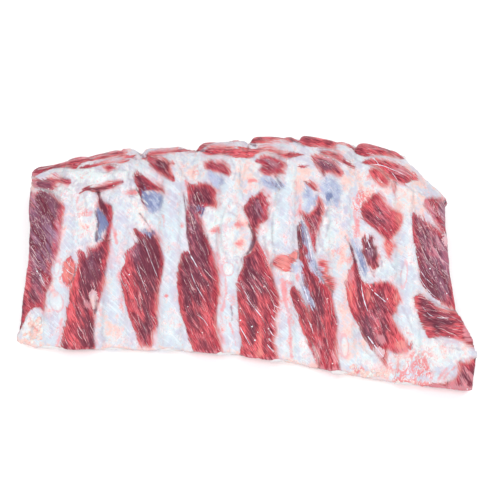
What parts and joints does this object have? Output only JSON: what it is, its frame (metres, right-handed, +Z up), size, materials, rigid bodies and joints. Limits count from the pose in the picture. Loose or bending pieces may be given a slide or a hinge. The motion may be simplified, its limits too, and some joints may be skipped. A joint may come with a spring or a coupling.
{
  "type": "slab of beef ribs",
  "caption": "Raw slab of beef ribs: rib bones let into one arched slab of meat, sawn along one edge and lobed along the other.",
  "frame": {"origin": "centre of the slab's footprint, on the surface that it lies on", "axes": "+X along the slab, across the bones; +Y from the sawn edge to the lobed edge; +Z up, out of the slab's outer side"},
  "size_m": [0.383, 0.2494, 0.0535],
  "materials": {
    "meat": "moist raw meat, dark red lean under white and pale blue membrane and cream fat",
    "bone": "moist raw bone with a red spongy core at the sawn ends"
  },
  "bodies": {
    "root": {"meat": "meat", "rib_bone_1": "bone", "rib_bone_2": "bone", "rib_bone_3": "bone", "rib_bone_4": "bone", "rib_bone_5": "bone", "rib_bone_6": "bone", "rib_bone_7": "bone"}
  },
  "joints": []
}
